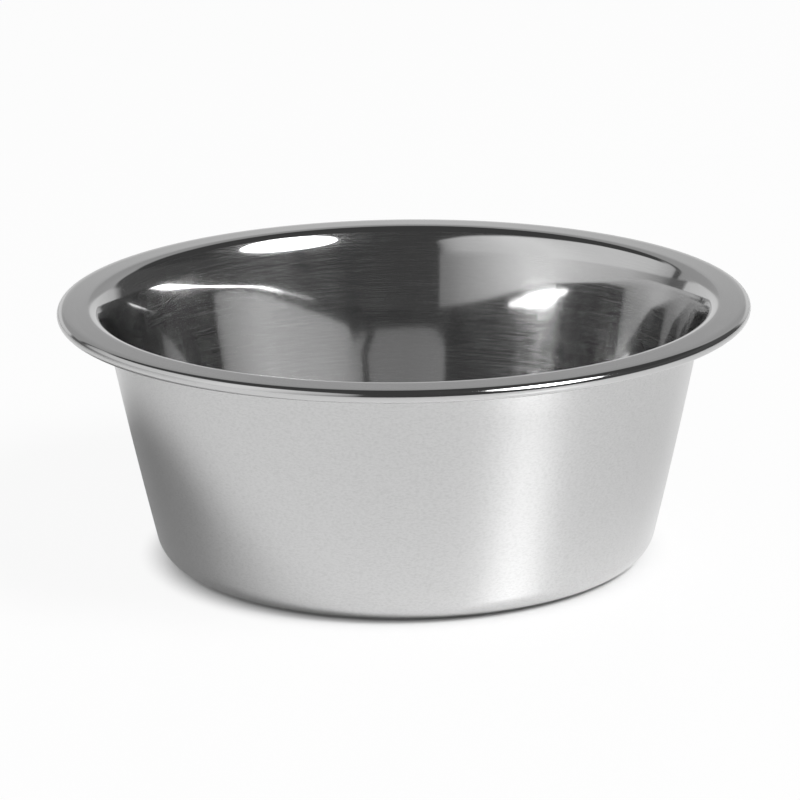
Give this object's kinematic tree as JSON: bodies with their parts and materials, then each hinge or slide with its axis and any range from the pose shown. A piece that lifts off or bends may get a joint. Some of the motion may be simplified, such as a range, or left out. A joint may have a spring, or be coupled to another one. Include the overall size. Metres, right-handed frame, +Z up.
{
  "type": "pet bowl",
  "caption": "Round stainless steel pet bowl pressed from a single sheet: flat base, leaning satin wall, mirror-polished inside, wide flat flange and rolled edge.",
  "frame": {"origin": "middle of the base, on the surface that the bowl stands on", "axes": "+Z up along the bowl's axis of revolution; X and Y are any two square directions across the round bowl"},
  "size_m": [0.21, 0.21, 0.079],
  "materials": {
    "stainless_steel": "mirror polished inside, on the flange and on the rolled edge; fine satin outside"
  },
  "bodies": {
    "root": {"bowl": "stainless_steel"}
  },
  "joints": []
}
